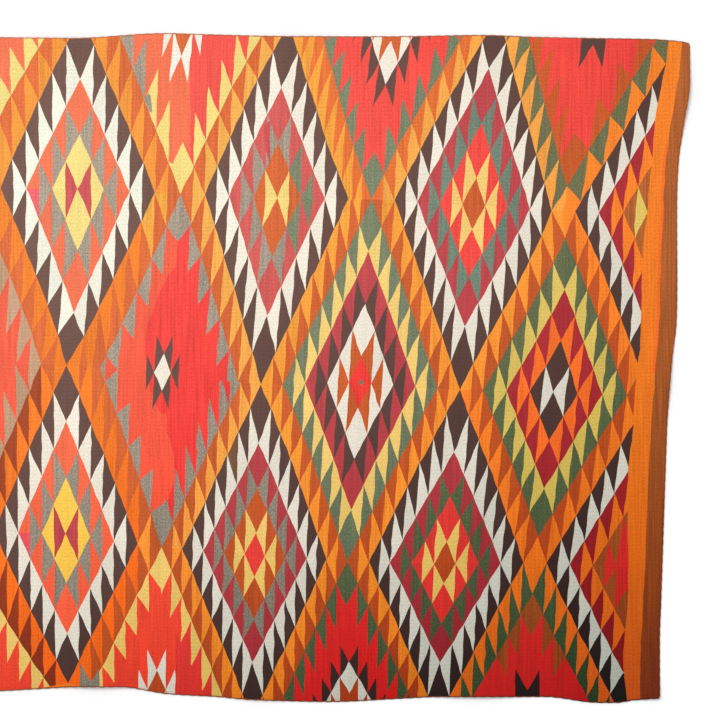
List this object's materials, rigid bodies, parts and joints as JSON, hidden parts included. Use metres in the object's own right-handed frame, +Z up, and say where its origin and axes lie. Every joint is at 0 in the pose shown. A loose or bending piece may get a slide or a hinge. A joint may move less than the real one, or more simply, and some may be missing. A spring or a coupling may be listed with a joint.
{
  "type": "navajo blanket",
  "caption": "Handwoven wool blanket with a net of serrate diamonds, striped ends and twisted edge cords, lying flat.",
  "frame": {"origin": "centre of the overall box, at the level of the surface that the blanket lies on", "axes": "+X along the warp towards the end that the picture shows, +Y along the weft towards the picture's upper side, +Z up out of the face"},
  "size_m": [1.8478, 1.4736, 0.0099],
  "materials": {
    "woven_wool": "matt weft-faced handspun wool in serrate diamonds of orange, rust, dark brown, white, red, crimson, yellow, green and grey",
    "side_cord_wool": "matt twisted two-strand wool cord, dark brown",
    "end_cord_wool": "matt twisted two-strand wool cord, mid brown"
  },
  "bodies": {
    "root": {"blanket_cloth": "woven_wool", "upper_side_cord": "side_cord_wool", "lower_side_cord": "side_cord_wool", "right_end_cord": "end_cord_wool", "left_end_cord": "end_cord_wool"}
  },
  "joints": []
}
